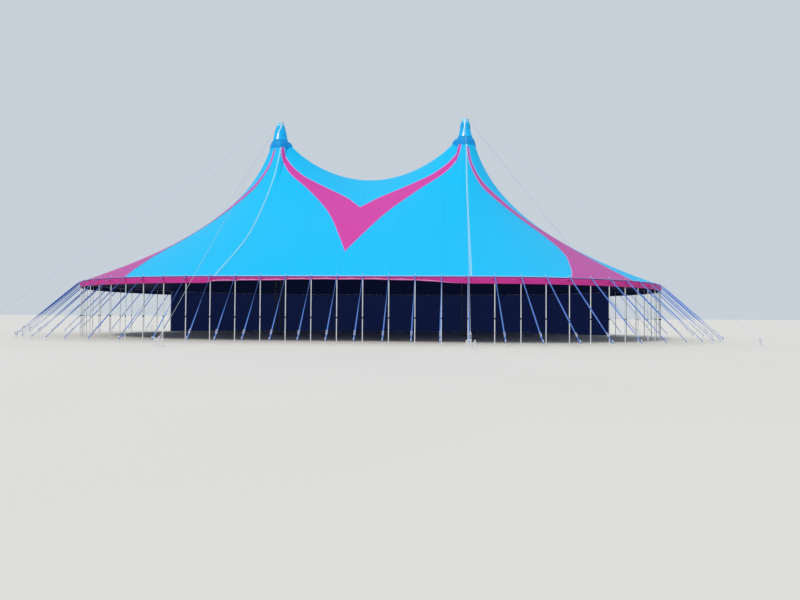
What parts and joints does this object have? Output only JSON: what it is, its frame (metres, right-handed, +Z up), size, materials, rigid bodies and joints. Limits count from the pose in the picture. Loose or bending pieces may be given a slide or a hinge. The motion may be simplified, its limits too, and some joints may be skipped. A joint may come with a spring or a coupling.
{
  "type": "circus big top tent, scale model at 1:2",
  "caption": "Two-mast circus tent with a swept sky blue canopy, cone caps on the masts, side poles, guy straps to stakes, a pink valance and an open front.",
  "frame": {"origin": "on the ground, midway between the two masts", "axes": "+X along the ridge from the left mast to the right one, -Y towards the open front, +Z up"},
  "size_m": [23.9804, 19.45, 8.13],
  "materials": {
    "canopy_cloth": "semi-gloss coated cloth",
    "cap_cloth": "semi-gloss coated cloth",
    "valance_cloth": "matt",
    "wall_cloth": "matt",
    "webbing": "woven webbing",
    "galvanised_steel": "galvanised, satin",
    "stay_rope": "twisted wire rope"
  },
  "bodies": {
    "root": {"canopy_middle_front": "canopy_cloth", "canopy_middle_back": "canopy_cloth", "canopy_right_front": "canopy_cloth", "canopy_right_back": "canopy_cloth", "canopy_left_front": "canopy_cloth", "canopy_left_back": "canopy_cloth", "side_poles_front": "galvanised_steel", "guy_straps_front": "webbing", "valance_front": "valance_cloth", "side_poles_front_right": "galvanised_steel", "guy_straps_front_right": "webbing", "valance_front_right": "valance_cloth", "side_poles_right": "galvanised_steel", "guy_straps_right": "webbing", "valance_right": "valance_cloth", "side_poles_back_right": "galvanised_steel", "guy_straps_back_right": "webbing", "valance_back_right": "valance_cloth", "side_poles_back": "galvanised_steel", "guy_straps_back": "webbing", "valance_back": "valance_cloth", "side_poles_back_left": "galvanised_steel", "guy_straps_back_left": "webbing", "valance_back_left": "valance_cloth", "side_poles_left": "galvanised_steel", "guy_straps_left": "webbing", "valance_left": "valance_cloth", "side_poles_front_left": "galvanised_steel", "guy_straps_front_left": "webbing", "valance_front_left": "valance_cloth", "wall_back_right": "wall_cloth", "wall_back": "wall_cloth", "wall_back_left": "wall_cloth", "mast_left": "galvanised_steel", "mast_base_left": "galvanised_steel", "mast_head_left": "galvanised_steel", "canopy_ring_left": "galvanised_steel", "mast_cap_left": "cap_cloth", "mast_stays_left": "stay_rope", "mast_right": "galvanised_steel", "mast_base_right": "galvanised_steel", "mast_head_right": "galvanised_steel", "canopy_ring_right": "galvanised_steel", "mast_cap_right": "cap_cloth", "mast_stays_right": "stay_rope"}
  },
  "joints": []
}
